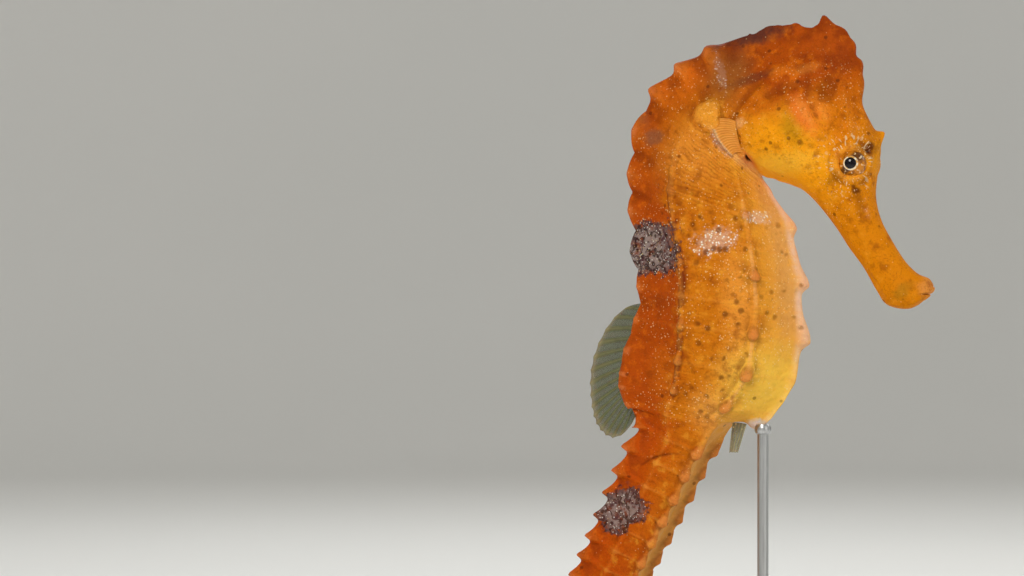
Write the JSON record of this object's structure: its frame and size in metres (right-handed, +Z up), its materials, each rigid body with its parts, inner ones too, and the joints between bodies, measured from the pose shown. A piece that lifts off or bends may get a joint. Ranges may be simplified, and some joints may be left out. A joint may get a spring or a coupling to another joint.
{
  "type": "seahorse",
  "caption": "Life-size longsnout seahorse, upright with head bowed and tail curled, held by slim rods on a flat base.",
  "frame": {"origin": "centre of the base's underside", "axes": "+Z up, the animal faces +X, and Y = 0 is its middle plane, with its left side at +Y"},
  "size_m": [0.074, 0.044, 0.1295],
  "materials": {
    "skin": "soft satin skin, orange with a yellow belly, brown spots, white dots and grey saddles",
    "eye": "wet gloss, black pupil in a pale ring",
    "fin": "thin translucent grey-green membrane over pale rays",
    "base": "dark stained wood, satin",
    "rod": "fine brushed"
  },
  "bodies": {
    "root": {"head": "skin", "snout": "skin", "coronet": "skin", "neck": "skin", "trunk_upper": "skin", "trunk_lower": "skin", "tail_1": "skin", "tail_2": "skin", "tail_3": "skin", "tail_4": "skin", "tail_5": "skin", "tail_6": "skin", "eye_left": "eye", "eye_right": "eye", "dorsal_fin": "fin", "anal_fin": "fin", "pectoral_fin_left": "fin", "pectoral_fin_right": "fin", "stand_base": "base", "stand_rod_front": "rod", "stand_rod_rear": "rod"}
  },
  "joints": []
}
